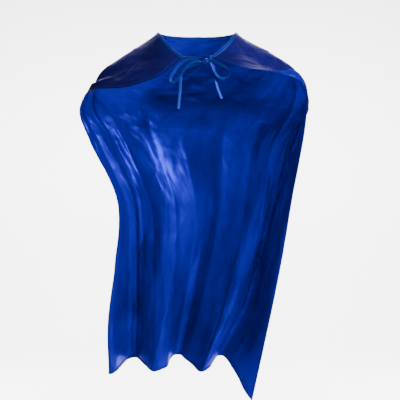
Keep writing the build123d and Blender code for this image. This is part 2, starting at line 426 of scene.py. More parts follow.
@dataclass
class CapeSurface:
    """The shape in which the cape hangs, the same one that the CAD solids follow.

    Nine guide lines run from the neck binding to the hem. A Catmull-Rom curve joins them across the
    cloth and another joins their points along it. Broad folds are a cosine across that grows towards
    the hem. The guides are in millimetres, by how far round they lie; those of the middle are shared
    by both sides and each side has its own last one. The lean moves each row of them sideways.
    """

    neck_half: tuple[float, float] = (0.104, 0.076)
    neck_heights: tuple[float, float, float] = (0.050, 0.045, -0.045)
    neck_end: float = math.radians(161.0)
    binding_width: float = 0.0095
    fold_count: int = 3
    fold_depth: float = 0.042
    fold_start: float = 0.45
    hem_wave: float = 0.016
    hem_wave_start: float = 0.6
    slope: float = 0.02
    slope_rise: float = 0.2
    slope_fade: tuple[float, float] = (0.3, 0.6)
    lean: tuple[float, ...] = (0, 0, 0, 0, 0, 20, 4, -22, -56)
    spread: tuple[float, float] = (0.36, 1.05)
    binding_lift: float = 0.001
    guides: dict[float, list[Place]] = field(
        default_factory=lambda: {
            0.0: [(0, 98, 12), (0, 114, -50), (0, 125, -108), (0, 133, -180), (0, 140, -262),
                  (0, 143, -420), (0, 150, -590), (0, 160, -750), (0, 166, -890)],
            0.25: [(95, 72, 22), (130, 90, -35), (152, 106, -95), (152, 119, -170), (128, 130, -260),
                   (96, 138, -420), (80, 146, -590), (66, 156, -750), (50, 164, -890)],
            0.5: [(155, 13, 14), (212, 15, -20), (264, 14, -72), (268, 62, -155), (216, 98, -256),
                  (172, 120, -420), (150, 135, -590), (126, 148, -750), (98, 160, -892)],
            0.75: [(128, -45, -28), (200, -36, -64), (274, -8, -94), (303, 28, -158), (262, 62, -253),
                   (214, 98, -420), (196, 118, -590), (178, 136, -750), (146, 154, -898)],
            -1.0: [(100, -95, -90), (185, -78, -112), (281, -28, -114), (320, 2, -165), (292, 22, -251),
                   (244, 72, -420), (236, 100, -590), (232, 124, -750), (198, 152, -893)],
            1.0: [(110, -92, -66), (190, -72, -76), (268, -25, -70), (300, 5, -125), (290, 30, -251),
                  (245, 78, -420), (232, 106, -590), (226, 128, -750), (214, 158, -972)],
        }
    )
    net: Array = field(init=False)
    relief: Array | None = None

    def __post_init__(self) -> None:
        """Lay out the guide points, mirrored to both sides, in metres."""
        rays = []
        for across in np.linspace(-1, 1, GUIDE_COUNT):
            ray = np.array(self.guides[across if abs(across) == 1 else abs(across)], float)
            ray[:, 0] = ray[:, 0] * (-1 if across < 0 else 1) + np.array(self.lean)
            rays.append(ray * MM)
        self.net = np.array(rays)

    def neckline(self, across: Array) -> Array:
        """The neck opening's edge: an ellipse seen from above, whose height eases down to the front.

        Args:
            across: places across, of any shape.

        Returns:
            Points in metres, with one more axis of length 3.
        """
        angle = self.neck_end * across
        quarter = np.abs(angle) / (np.pi / 2)
        back, side, front = self.neck_heights
        height = back + (side - back) * np.minimum(quarter, 1.0) + (front - side) * smooth_step(quarter - 1)
        return np.stack([self.neck_half[0] * np.sin(angle), self.neck_half[1] * np.cos(angle), height], -1)

    def seam(self, across: Array) -> Array:
        """Where the binding meets the open cloth: one binding width from the neckline.

        Args:
            across: places across, of any shape.

        Returns:
            Points in metres, with one more axis of length 3.
        """
        first = np.einsum("...i,ik->...k", span_weights((across + 1) / 2, GUIDE_COUNT), self.net[:, 0])
        top = self.neckline(across)
        return top + unit(first - top) * self.binding_width

    def binding_frames(self, across: Array) -> tuple[Array, Array, Array]:
        """The binding's place and directions: midway from the neckline to the seam, lifted outwards.

        Args:
            across: places across.

        Returns:
            The middle line, unit directions from the top to the seam, and unit directions outwards.
        """
        top, seam = self.neckline(across), self.seam(across)
        out = self.normals(across, np.zeros_like(across))
        return (top + seam) / 2 + out * self.binding_lift, unit(seam - top), out

    def smooth_points(self, across: Array, along: Array) -> Array:
        """The inner face with its broad folds only.

        Args:
            across: places across, of any shape.
            along: places along, of the same shape.

        Returns:
            Points in metres, with one more axis of length 3.
        """
        lines = np.einsum("...i,ijk->...jk", span_weights((across + 1) / 2, GUIDE_COUNT), self.net)
        lines = np.concatenate([self.seam(across)[..., None, :], lines], axis=-2)
        points = np.einsum("...j,...jk->...k", span_weights(along, lines.shape[-2]), lines)
        fold = np.cos(self.fold_count * np.pi * (across + 1))
        depth = self.fold_depth * smooth_step((along - self.fold_start) / (1 - self.fold_start))
        drop = self.hem_wave * smooth_step((along - self.hem_wave_start) / (1 - self.hem_wave_start))
        fade_from, fade_to = self.slope_fade
        fade = 1 - smooth_step((along - fade_from) / (fade_to - fade_from))
        slope = self.slope * smooth_step(along / self.slope_rise) * fade
        points[..., 2] += slope * points[..., 0] - drop * fold
        points[..., 1] -= depth * fold
        return points

    def normals(self, across: Array, along: Array, step: float = 0.004) -> Array:
        """Directions out of the cape: the cross product of the slopes across and along.

        Args:
            across: places across.
            along: places along, of the same shape.
            step: distance to either side over which a slope is measured.

        Returns:
            Unit directions, with one more axis of length 3.
        """
        ahead, behind = np.minimum(across + step, 1), np.maximum(across - step, -1)
        below, above = np.minimum(along + step, 1), np.maximum(along - step, 0)
        round_it = self.smooth_points(ahead, along) - self.smooth_points(behind, along)
        down_it = self.smooth_points(across, below) - self.smooth_points(across, above)
        return unit(np.cross(round_it, down_it))

    def points(self, across: Array, along: Array, height: float | Array = 0.0) -> Array:
        """The inner face with all its relief, raised outwards by a height.

        Args:
            across: places across.
            along: places along, of the same shape.
            height: metres outwards, one value or one for each place.

        Returns:
            Points in metres, with one more axis of length 3.
        """
        points = self.smooth_points(across, along)
        if self.relief is not None:
            points += self.moves(across, along)
        return points + self.normals(across, along) * np.asarray(height)[..., None]

    def moves(self, across: Array, along: Array) -> Array:
        """The relief's move at each place, in proportion between the four nearest grid points.

        Args:
            across: places across.
            along: places along, of the same shape.

        Returns:
            Moves in metres, with one more axis of length 3.
        """
        rows, columns = self.relief.shape[:2]
        u = (np.clip(across, -1, 1) + 1) / 2 * (rows - 1)
        v = np.clip(along, 0, 1) * (columns - 1)
        i = np.minimum(u.astype(int), rows - 2)
        j = np.minimum(v.astype(int), columns - 2)
        s, t = (u - i)[..., None], (v - j)[..., None]
        near = self.relief[i, j] * (1 - s) + self.relief[i + 1, j] * s
        far = self.relief[i, j + 1] * (1 - s) + self.relief[i + 1, j + 1] * s
        return near * (1 - t) + far * t

    def across_reach(self, side: Side, along: Array, width: float) -> Array:
        """How far across reaches a width of cloth, inwards from a free edge.

        Args:
            side: which free edge.
            along: places along it.
            width: the width of cloth in metres.

        Returns:
            The reach across at each place.
        """
        edge = np.full_like(along, float(side.value))
        gap = self.smooth_points(edge, along) - self.smooth_points(edge * (1 - PROBE), along)
        return width * PROBE / np.linalg.norm(gap, axis=-1)

    def along_reach(self, across: Array, width: float) -> Array:
        """How far along reaches a width of cloth, upwards from the bottom hem.

        Args:
            across: places across it.
            width: the width of cloth in metres.

        Returns:
            The reach along at each place.
        """
        hem = np.ones_like(across)
        gap = self.smooth_points(across, hem) - self.smooth_points(across, hem * (1 - PROBE))
        return width * PROBE / np.linalg.norm(gap, axis=-1)


# ---------------------------------------------------------------- meshes from arrays


def grid_faces(rows: int, columns: int, closed: bool = False) -> Array:
    """Four-cornered faces between neighbouring points of a grid, in row-major order.

    Args:
        rows: number of rows.
        columns: number of points in a row.
        closed: whether the last point of a row joins its first.

    Returns:
        An array of faces, four point numbers each.
    """
    count = columns if closed else columns - 1
    i, j = np.meshgrid(np.arange(rows - 1), np.arange(count), indexing="ij")
    k = (j + 1) % columns
    here, below = i * columns, (i + 1) * columns
    return np.stack([here + j, below + j, below + k, here + k], -1).reshape(-1, 4)


def tube_faces(rings: int, corners: int) -> list[tuple[int, ...]]:
    """Faces round a tube, with one flat face at each end.

    Args:
        rings: number of rings along the tube.
        corners: number of points in a ring.

    Returns:
        The faces, as point numbers.
    """
    first_end, last_end = range(corners), range((rings - 1) * corners, rings * corners)
    around = [tuple(face) for face in grid_faces(rings, corners, closed=True)]
    return [*around, tuple(first_end), tuple(last_end)]


def make_mesh(
    name: str, points: Array, faces: list | Array, places: Array, finish: bpy.types.Material
) -> bpy.types.Object:
    """Put arrays into a smooth-shaded mesh object, with its faces turned outwards.

    Args:
        name: the object's name.
        points: points in metres, (n, 3).
        faces: corner numbers of each face.
        places: cloth coordinates in metres of each point, (n, 2), for the weave.
        finish: the material.

    Returns:
        The new object, at the origin.
    """
    mesh = bpy.data.meshes.new(name)
    mesh.from_pydata(points.tolist(), [], [list(map(int, face)) for face in faces])
    corners = np.empty(len(mesh.loops), dtype=np.int32)
    mesh.loops.foreach_get("vertex_index", corners)
    layer = mesh.uv_layers.new(name=CLOTH_MAP)
    layer.data.foreach_set("uv", places[corners].astype(np.float32).ravel())
    tidy = bmesh.new()
    tidy.from_mesh(mesh)
    bmesh.ops.recalc_face_normals(tidy, faces=tidy.faces)
    tidy.to_mesh(mesh)
    tidy.free()
    mesh.polygons.foreach_set("use_smooth", np.ones(len(mesh.polygons), dtype=bool))
    mesh.set_sharp_from_angle(angle=SHARP_ANGLE)
    mesh.materials.append(finish)
    mesh.update()
    made = bpy.data.objects.new(name, mesh)
    bpy.context.scene.collection.objects.link(made)
    return made


def band(
    name: str,
    centres: Array,
    wide: Array,
    thick: Array,
    width: float | Array,
    thickness: float,
    finish: bpy.types.Material,
    squareness: float = 4.0,
    corners: int = 20,
    pinch: Array | None = None,
) -> bpy.types.Object:
    """A flat ribbon carried along a path, closed at its ends.

    The section is a superellipse: |x / half width|^p + |y / half thickness|^p = 1, with p the
    squareness, so its edges are rounded like folded cloth.

    Args:
        name: the object's name.
        centres: the middle of the ribbon, (n, 3).
        wide: unit directions of its width, (n, 3).
        thick: unit directions of its thickness, (n, 3).
        width: full width, one value or one for each centre.
        thickness: full thickness.
        finish: the material.
        squareness: the superellipse's power.
        corners: points round the section.
        pinch: optional share of the width at each centre.

    Returns:
        The new object.
    """
    count = len(centres)
    turn = np.linspace(0, 2 * np.pi, corners, endpoint=False)
    x = np.sign(np.cos(turn)) * np.abs(np.cos(turn)) ** (2 / squareness)
    y = np.sign(np.sin(turn)) * np.abs(np.sin(turn)) ** (2 / squareness)
    half = np.broadcast_to(np.asarray(width, float) / 2, (count,))
    if pinch is not None:
        half = half * pinch
    rings = (
        centres[:, None]
        + wide[:, None] * (half[:, None] * x)[..., None]
        + thick[:, None] * (thickness / 2 * y)[None, :, None]
    )
    run = np.concatenate([[0], np.cumsum(np.linalg.norm(np.diff(centres, axis=0), axis=1))])
    places = np.stack(np.broadcast_arrays((half[:, None] * x), run[:, None]), -1)
    points = rings.reshape(-1, 3)
    return make_mesh(name, points, tube_faces(count, corners), places.reshape(-1, 2), finish)


def path_frames(centres: Array, wide: Array) -> tuple[Array, Array]:
    """Width and thickness directions square to a path.

    Args:
        centres: the path, (n, 3).
        wide: rough width directions, (n, 3).

    Returns:
        Unit width directions with the path's own direction taken out, and unit thickness directions.
    """
    forward = unit(np.gradient(centres, axis=0))
    wide = unit(wide - forward * np.sum(wide * forward, axis=-1, keepdims=True))
    return wide, unit(np.cross(forward, wide))


def smooth_path(points: Array, count: int) -> Array:
    """Even samples of a Catmull-Rom curve through points."""
    return span_weights(np.linspace(0, 1, count), len(points)) @ points


def stitch_row(
    name: str,
    middles: Array,
    ahead: Array,
    up: Array,
    finish: bpy.types.Material,
    length: float = 0.0028,
    girth: float = 0.0004,
) -> bpy.types.Object:
    """A row of small thread stitches, each a spindle of 6 by 4 faces.

    Args:
        name: the object's name.
        middles: the stitches' middles, (n, 3).
        ahead: unit directions along the row, (n, 3).
        up: unit directions off the cloth, (n, 3).
        finish: the thread's material.
        length: a stitch's length.
        girth: a stitch's radius.

    Returns:
        The new object.
    """
    along = np.array([-0.5, -0.42, -0.2, 0.2, 0.42, 0.5]) * length
    radius = np.array([0.25, 0.8, 1.0, 1.0, 0.8, 0.25]) * girth
    sink = np.array([-1.0, -0.4, 0.25, 0.25, -0.4, -1.0]) * girth
    turn = np.linspace(0, 2 * np.pi, 6, endpoint=False)
    side = np.cross(up, ahead)
    rings = (
        middles[:, None, None]
        + ahead[:, None, None] * along[None, :, None, None]
        + side[:, None, None] * (radius[:, None] * np.cos(turn))[None, ..., None]
        + up[:, None, None] * (radius[:, None] * np.sin(turn) + sink[:, None])[None, ..., None]
    )
    count = len(middles)
    one = grid_faces(len(along), len(turn), closed=True)[:, ::-1]
    size = len(along) * len(turn)
    faces = (one[None] + (np.arange(count) * size)[:, None, None]).reshape(-1, 4).tolist()
    caps = np.stack([np.arange(len(turn)), size - 1 - np.arange(len(turn))])
    for cap in caps:
        faces += (cap[None] + (np.arange(count) * size)[:, None]).tolist()
    places = np.stack([rings[..., 0], rings[..., 2]], -1).reshape(-1, 2)
    return make_mesh(name, rings.reshape(-1, 3), faces, places, finish)


def set_face_slots(made: bpy.types.Object, indices: Array, finish: bpy.types.Material) -> None:
    """Give some faces a second material.

    Args:
        made: the object, with one material so far.
        indices: the material number of each face.
        finish: the material with number 1.
    """
    made.data.materials.append(finish)
    made.data.polygons.foreach_set("material_index", indices.astype(np.int32))


# ---------------------------------------------------------------- relief of the cloth


@dataclass
class ClothRelief:
    """Small folds, drag lines and packing creases, as a height over the whole cloth.

    Each layer of rumples is a lattice size, a height in metres, and where along the cloth it starts
    and how far on it is full.
    """

    surface: CapeSurface
    rows: int = 401
    columns: int = 461
    seed: int = 11
    creases: tuple[Wrinkle, ...] = (
        # packing creases, straight down and across the cloth
        Wrinkle((0.62, 0.22), (0.60, 0.78), 0.0016, 0.0050),
        Wrinkle((-0.55, 0.30), (-0.56, 0.98), 0.0014, 0.0050),
        Wrinkle((0.02, 0.20), (0.00, 0.99), 0.0012, 0.0050),
        Wrinkle((0.40, 0.44), (0.98, 0.46), 0.0012, 0.0045),
        Wrinkle((0.45, 0.60), (0.98, 0.59), -0.0010, 0.0045),
        Wrinkle((-0.98, 0.52), (-0.35, 0.55), 0.0012, 0.0045),
        Wrinkle((-0.40, 0.72), (0.40, 0.72), 0.0010, 0.0045),
        # long folds that fall from the shoulder points
        Wrinkle((-0.80, 0.26), (-0.74, 1.02), 0.0080, 0.0260),
        Wrinkle((-0.63, 0.30), (-0.60, 1.02), -0.0075, 0.0240),
        Wrinkle((-0.45, 0.34), (-0.42, 1.02), 0.0060, 0.0230),
        Wrinkle((-0.24, 0.42), (-0.20, 1.02), -0.0070, 0.0220),
        Wrinkle((-0.07, 0.46), (-0.05, 1.02), 0.0065, 0.0240),
        Wrinkle((0.14, 0.40), (0.11, 1.02), -0.0070, 0.0210),
        Wrinkle((0.33, 0.36), (0.29, 1.02), 0.0065, 0.0230),
        Wrinkle((0.52, 0.32), (0.47, 1.02), -0.0080, 0.0220),
        Wrinkle((0.70, 0.28), (0.62, 1.02), 0.0085, 0.0240),
        Wrinkle((0.84, 0.26), (0.79, 1.02), -0.0070, 0.0200),
        # drag lines from the shoulder points
        Wrinkle((-0.86, 0.29), (-0.62, 0.44), 0.0032, 0.0110),
        Wrinkle((-0.93, 0.34), (-0.74, 0.47), 0.0026, 0.0085),
        Wrinkle((-0.80, 0.40), (-0.66, 0.62), 0.0030, 0.0100),
        Wrinkle((-0.90, 0.44), (-0.70, 0.51), -0.0022, 0.0080),
        Wrinkle((-0.72, 0.33), (-0.70, 0.56), 0.0026, 0.0090),
        Wrinkle((0.72, 0.30), (0.74, 0.56), 0.0028, 0.0090),
        Wrinkle((0.86, 0.32), (0.66, 0.48), 0.0030, 0.0100),
        Wrinkle((0.80, 0.44), (0.70, 0.66), 0.0030, 0.0085),
        Wrinkle((0.88, 0.56), (0.70, 0.64), 0.0026, 0.0080),
        Wrinkle((0.92, 0.40), (0.84, 0.60), -0.0020, 0.0080),
        # soft drag lines over the front of the shoulders
        Wrinkle((-0.97, 0.06), (-0.80, 0.20), 0.0014, 0.0110),
        Wrinkle((-0.90, 0.03), (-0.72, 0.16), -0.0014, 0.0120),
        Wrinkle((0.95, 0.05), (0.78, 0.17), 0.0016, 0.0130),
        Wrinkle((0.86, 0.04), (0.70, 0.15), -0.0012, 0.0120),
        Wrinkle((-0.34, 0.06), (-0.30, 0.30), 0.0016, 0.0130),
        Wrinkle((0.30, 0.06), (0.34, 0.30), 0.0016, 0.0130),
    )
    small_count: int = 150
    small_across: tuple[float, float] = (-0.96, 0.96)
    small_along: tuple[float, float] = (0.12, 0.97)
    small_lean: float = 0.55
    small_reach: tuple[float, float] = (0.035, 0.12)
    small_height: tuple[float, float] = (0.0007, 0.0020)
    small_width: tuple[float, float] = (0.0045, 0.0075)
    rumples: tuple[tuple[tuple[int, int], float, float, float], ...] = (
        ((23, 7), 0.0042, 0.38, 0.40),
        ((31, 12), 0.0022, 0.15, 0.35),
        ((44, 30), 0.0009, 0.05, 0.20),
        ((90, 75), 0.00028, -1.0, 1.0),
    )
    flat_top: tuple[float, float] = (0.004, 0.05)

    def scattered(self, random: np.random.Generator) -> list[Wrinkle]:
        """Short shallow creases that lean to either side of the fall of the cloth.

        Args:
            random: the seeded source of their places.

        Returns:
            The creases.
        """
        made = []
        for _ in range(self.small_count):
            across, along = random.uniform(*self.small_across), random.uniform(*self.small_along)
            lean, reach = random.normal(0.0, self.small_lean), random.uniform(*self.small_reach)
            step = np.array([math.sin(lean), math.cos(lean)]) * reach / np.array(self.surface.spread)
            height = random.choice([-1.0, 1.0]) * random.uniform(*self.small_height)
            end = (float(across + step[0]), float(along + step[1]))
            made.append(Wrinkle((across, along), end, height, random.uniform(*self.small_width)))
        return made

    def soft(self, random: np.random.Generator, cells: tuple[int, int]) -> Array:
        """Smooth noise over the grid: a lattice of random values, joined by Catmull-Rom curves.

        Args:
            random: the seeded source of the values.
            cells: the lattice's rows and columns.

        Returns:
            Values of about -1 to 1 over the grid.
        """
        lattice = random.uniform(-1, 1, cells)
        across = span_weights(np.linspace(0, 1, self.rows), cells[0])
        along = span_weights(np.linspace(0, 1, self.columns), cells[1])
        return across @ lattice @ along.T

    def heights(self, across: Array, along: Array) -> Array:
        """All the relief's heights, eased to nothing at the neck.

        Args:
            across: places across, over the grid.
            along: places along, over the grid.

        Returns:
            Heights in metres.
        """
        random = np.random.default_rng(self.seed)
        height = np.zeros_like(across)
        for cells, deepest, start, rise in self.rumples:
            height += self.soft(random, cells) * deepest * smooth_step((along - start) / rise)
        for crease in [*self.creases, *self.scattered(random)]:
            height += crease.relief(across, along, self.surface.spread)
        start, rise = self.flat_top
        return height * smooth_step((along - start) / rise)

    def apply(self) -> None:
        """Work out the moves on the grid and hand them to the surface."""
        across, along = np.meshgrid(
            np.linspace(-1, 1, self.rows), np.linspace(0, 1, self.columns), indexing="ij"
        )
        normals = self.surface.normals(across, along)
        self.surface.relief = normals * self.heights(across, along)[..., None]


# ---------------------------------------------------------------- pieces


@dataclass
class CapeCloth:
    """The one sheet of satin, as two close layers joined round their rim.

    Outer and inner are the layers' heights over the inner face of the CAD cloth.
    """

    surface: CapeSurface
    face: bpy.types.Material
    back: bpy.types.Material
    across_count: int = 200
    along_count: int = 234
    outer: float = 0.0014
    inner: float = 0.0006
    flat: tuple[float, float] = (0.86, 1.16)
    flat_area: float = 0.67

    def build(self) -> bpy.types.Object:
        """Make the sheet.

        Returns:
            The sheet, with the face satin outside, its colour darkened as painted shade, and the back satin
            inside, its colour lightened as painted light.
        """
        count = self.across_count
        across = np.linspace(-1, 1, count)
        along = np.linspace(0, 1, self.along_count)
        grid_across, grid_along = np.meshgrid(across, along)
        outer = self.surface.points(grid_across, grid_along, self.outer)
        inner = self.surface.points(grid_across, grid_along, self.inner)[:, ::-1]
        points = np.concatenate([outer, inner], axis=1)
        places = np.stack([grid_across, grid_along], -1) * np.array(self.surface.spread)
        places = np.concatenate([places, places[:, ::-1]], axis=1)
        around = grid_faces(self.along_count, 2 * count, closed=True)
        j = np.arange(count - 1)
        top_rim = np.stack([j, j + 1, 2 * count - 2 - j, 2 * count - 1 - j], -1)
        bottom_rim = top_rim + (self.along_count - 1) * 2 * count
        faces = np.concatenate([around, top_rim, bottom_rim])
        sheet = make_mesh("cape_cloth", points.reshape(-1, 3), faces, places.reshape(-1, 2), self.face)
        # faces of the inner layer take the lit copy of the satin, with painted light; the rest keep the
        # shaded copy, with painted shade
        column = np.arange(len(around)) % (2 * count)
        on_back = np.concatenate([column >= count, np.zeros(2 * (count - 1), dtype=bool)])
        set_face_slots(sheet, on_back, self.back)
        return sheet


@dataclass(frozen=True)
class HemEdge:
    """One edge of the cape: a free edge on one side, or the bottom. Its length is in metres."""

    name: str
    side: Side | None
    span: tuple[float, float]
    length: float
    count: int

    def places(self, surface: CapeSurface, run: Array, inset: Array) -> tuple[Array, Array]:
        """Places across and along for distances in from the edge.

        Args:
            surface: the cape's surface.
            run: places along the edge.
            inset: distances in from the edge, in metres.

        Returns:
            Places across and places along.
        """
        if self.side is None:
            return run, 1 - surface.along_reach(run, 1.0) * inset
        return self.side.value * (1 - surface.across_reach(self.side, run, 1.0) * inset), run


@dataclass
class Hems:
    """The turned hems: a fold of cloth on the inner side, rounded at the edge and stitched down.

    A hem's section is a closed line of (distance in from the edge, height over the inner face) in
    millimetres. Its free side, below the pucker limit, rises and falls a little along the edge.
    """

    surface: CapeSurface
    finish: bpy.types.Material
    thread: bpy.types.Material
    section: tuple[tuple[float, float], ...] = (
        (-0.40, 0.95), (0.05, 1.25), (0.60, 1.00), (4.0, 0.85), (8.6, 0.80), (9.05, 0.50), (8.8, 0.10),
        (8.2, -0.22), (7.4, -0.20), (6.6, -0.45), (4.0, -0.62), (1.6, -0.60), (0.3, -0.35), (-0.35, 0.20),
    )
    pucker: float = 0.25
    pucker_limit: float = 0.0006
    pucker_waves: tuple[float, float] = (830.0, 171.0)
    stitch_inset: float = 0.0074
    stitch_pitch: float = 0.0037
    stitch_heights: tuple[float, float] = (-0.00025, 0.00152)

    def strip(self, edge: HemEdge) -> bpy.types.Object:
        """The fold of one hem.

        Args:
            edge: which edge of the cape.

        Returns:
            The closed strip.
        """
        run = np.linspace(*edge.span, edge.count)
        section = np.array(self.section) * MM
        quick, slow = self.pucker_waves
        pucker = 1 + self.pucker * np.sin(run * quick) * np.sin(run * slow + 1.0)
        grid_run, inset = np.broadcast_arrays(run[:, None], section[None, :, 0])
        across, along = edge.places(self.surface, grid_run, inset)
        level = section[None, :, 1]
        height = np.where(level < self.pucker_limit, level * pucker[:, None], level)
        rings = self.surface.points(across, along, height).reshape(-1, 3)
        places = np.stack([across, along], -1) * np.array(self.surface.spread)
        faces = tube_faces(len(run), len(section))
        return make_mesh(f"hem_{edge.name}", rings, faces, places.reshape(-1, 2), self.finish)

    def stitches(self, edge: HemEdge) -> bpy.types.Object:
        """Both sides of the row of stitches that hold one hem.

        Args:
            edge: which edge of the cape.

        Returns:
            The stitches of the inner side and of the outer side, as one piece.
        """
        run = np.linspace(*edge.span, int(edge.length / self.stitch_pitch))
        row = edge.places(self.surface, run, np.full_like(run, self.stitch_inset))
        rows = []
        for height, outwards in zip(self.stitch_heights, (-1, 1)):
            middle = self.surface.points(*row, height)
            rows.append((middle, unit(np.gradient(middle, axis=0)), self.surface.normals(*row) * outwards))
        middle, ahead, up = (np.concatenate(parts) for parts in zip(*rows))
        return stitch_row(f"stitches_{edge.name}", middle, ahead, up, self.thread)


@dataclass
class NeckBinding:
    """A tape folded over the neck edge, pressed flat and stitched through along its lower side.

    The stitches lie a drop below the tape's middle line, on both of its faces.
    """

    surface: CapeSurface
    finish: bpy.types.Material
    thread: bpy.types.Material
    thickness: float = 0.0026
    count: int = 281
    ripple: float = 0.00025
    swell: float = 0.03
    length: float = 0.5
    stitch_pitch: float = 0.0034
    stitch_end: float = 0.985
    stitch_drop: float = 0.0026
    stitch_lift: float = 0.00122
    stitch_size: tuple[float, float] = (0.0024, 0.00035)

    def tape(self) -> bpy.types.Object:
        """The tape, whose ripple is a product of two sines and whose width swells as another.

        Returns:
            The tape.
        """
        across = np.linspace(-1, 1, self.count)
        middle, down, out = self.surface.binding_frames(across)
        ripple = self.ripple * np.sin(across * 95.0) * np.cos(across * 37.0)
        return band(
            "neck_binding_tape",
            middle + out * ripple[:, None],
            down,
            out,
            self.surface.binding_width,
            self.thickness,
            self.finish,
            squareness=2.6,
            corners=28,
            pinch=1 + self.swell * np.sin(across * 61.0 + 0.6),
        )

    def stitches(self) -> bpy.types.Object:
        """The row of stitches, seen on both faces of the tape.

        Returns:
            The stitches of both faces, as one piece.
        """
        run = np.linspace(-self.stitch_end, self.stitch_end, int(self.length / self.stitch_pitch))
        middle, down, out = self.surface.binding_frames(run)
        ahead = unit(np.gradient(middle, axis=0))
        low = middle + down * self.stitch_drop
        rows = [(low + out * side * self.stitch_lift, ahead, out * side) for side in (-1, 1)]
        middle, ahead, up = (np.concatenate(parts) for parts in zip(*rows))
        return stitch_row("stitches_binding", middle, ahead, up, self.thread, *self.stitch_size)


@dataclass
class RibbonBow:
    """The bow: two leads from the binding, a wrapped knot, two loops and two tails.

    Loops and tails follow lines of (x, z) in millimetres, seen from the front. The loops' tilt and the
    tails' turn are in degrees. A gather is the share of its width that the ribbon loses near the knot,
    and a reach, rise or drop is the share of its length over which a change takes place.
    """

    surface: CapeSurface
    finish: bpy.types.Material
    width: float = 0.009
    thickness: float = 0.0015
    roundness: float = 2.4
    tail_lap: float = 0.0019
    strand_thickness: float = 0.0018
    strand_width: float = 1.15
    turn_thickness: float = 0.0012
    turn_slant: float = 0.34
    loop_gather: float = 0.18
    loop_rise: float = 0.12
    loop_front: float = 0.003
    cup: float = 0.0002
    cups: int = 9
    lead_gather: float = 0.3
    lead_start: float = 0.985
    lead_entry: tuple[float, float] = (0.003, -0.0035)
    lead_end: Place = (0.004, -0.001, 0.002)
    lead_crest: Place = (0.0, -0.003, 0.002)
    tail_gather: float = 0.35
    tail_gather_reach: float = 0.25
    tail_drop: float = 0.3
    tail_lap_reach: float = 0.5
    loop_lines: dict[Side, list[tuple[float, float]]] = field(
        default_factory=lambda: {
            Side.LEFT: [(17, -47), (4, -42), (-10, -43), (-28, -47), (-46, -60), (-62, -82), (-69, -98),
                        (-62, -105), (-50, -96), (-38, -78), (-24, -61), (-8, -52), (6, -51), (17, -51)],
            Side.RIGHT: [(29, -47), (37, -47), (45, -51), (63, -60), (78, -71), (82, -84), (73, -95),
                         (58, -92), (47, -79), (41, -65), (36, -55), (29, -51)],
        }
    )
    loop_tilt: dict[Side, float] = field(default_factory=lambda: {Side.LEFT: 72.0, Side.RIGHT: 56.0})
    tail_tops: dict[Side, list[tuple[float, float]]] = field(
        default_factory=lambda: {
            Side.LEFT: [(14, -54), (-2, -56), (-18, -61), (-38, -70), (-42.5, -86)],
            Side.RIGHT: [(32, -55), (38, -58), (43, -64), (46, -78)],
        }
    )
    tail_lines: dict[Side, list[tuple[float, float]]] = field(
        default_factory=lambda: {
            Side.LEFT: [(-42.8, -85), (-43.6, -113), (-45.4, -143), (-48, -173)],
            Side.RIGHT: [(46.6, -77), (48.5, -97), (54, -121), (65, -147)],
        }
    )
    tail_lengths: dict[Side, float] = field(default_factory=lambda: {Side.LEFT: 0.088, Side.RIGHT: 0.073})
    tail_turn: dict[Side, tuple[float, float]] = field(
        default_factory=lambda: {Side.LEFT: (14.0, 24.0), Side.RIGHT: (30.0, 30.0)}
    )

    def middle_of(self, node: str) -> Array:
        """The middle of a CAD node's box."""
        return np.mean(np.array(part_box(node)), axis=0)

    def ribbon(self, name: str, line: Array, wide: Array, thick: Array, **changes: Any) -> bpy.types.Object:
        """A band of the bow's ribbon, with its usual width, thickness and roundness unless changed."""
        usual = {"width": self.width, "thickness": self.thickness, "squareness": self.roundness}
        return band(name, line, wide, thick, finish=self.finish, **{**usual, **changes})

    def turned(self, line: Array, turn: Array) -> tuple[Array, Array]:
        """Directions of a ribbon that is turned from facing front about its own line.

        The width is the sideways direction times the turn's cosine plus the way back times its sine.

        Args:
            line: the ribbon's middle line, (n, 3).
            turn: the turn at each point, in radians.

        Returns:
            Unit width directions and unit thickness directions.
        """
        forward = unit(np.gradient(line, axis=0))
        sideways = unit(np.cross(forward, [0.0, 1.0, 0.0]))
        lean = np.cos(turn)[:, None] * sideways + np.sin(turn)[:, None] * np.array([0.0, 1.0, 0.0])
        return path_frames(line, lean)

    def flat_line(self, line: list[tuple[float, float]], depth: float) -> Array:
        """Points of a line seen from the front, at one depth."""
        line = np.array(line, float) * MM
        return np.stack([line[:, 0], np.full(len(line), depth), line[:, 1]], -1)

    def loop(self, side: Side) -> bpy.types.Object:
        """One loop, whose band leans so that its face shows.

        Args:
            side: the loop's side.

        Returns:
            The loop.
        """
        depth = self.middle_of(f"bow_loop_{side.word}")[1]
        line = smooth_path(self.flat_line(self.loop_lines[side], depth), 170)
        place = np.linspace(0, 1, len(line))
        # the band rises from the knot's middle to its own depth
        near_knot = 1 - smooth_step(np.minimum(place, 1 - place) / self.loop_rise)
        line[:, 1] += near_knot * (self.middle_of("bow_knot")[1] - self.loop_front - depth)
        forward = unit(np.gradient(line, axis=0))
        outward = np.stack([-forward[:, 2], np.zeros(len(line)), forward[:, 0]], -1)
        outward *= np.sign(np.sum(outward * (line - line.mean(axis=0)), axis=-1).sum())
        tilt = np.radians(self.loop_tilt[side]) * (1 - near_knot)
        lean = np.sin(tilt)[:, None] * outward - np.cos(tilt)[:, None] * np.array([0.0, 1.0, 0.0])
        wide, thick = path_frames(line, lean)
        cup = np.sin(place * np.pi * self.cups) * self.cup
        gather = 1 - self.loop_gather * near_knot
        return self.ribbon(f"loop_{side.word}", line + thick * cup[:, None], wide, thick, pinch=gather)

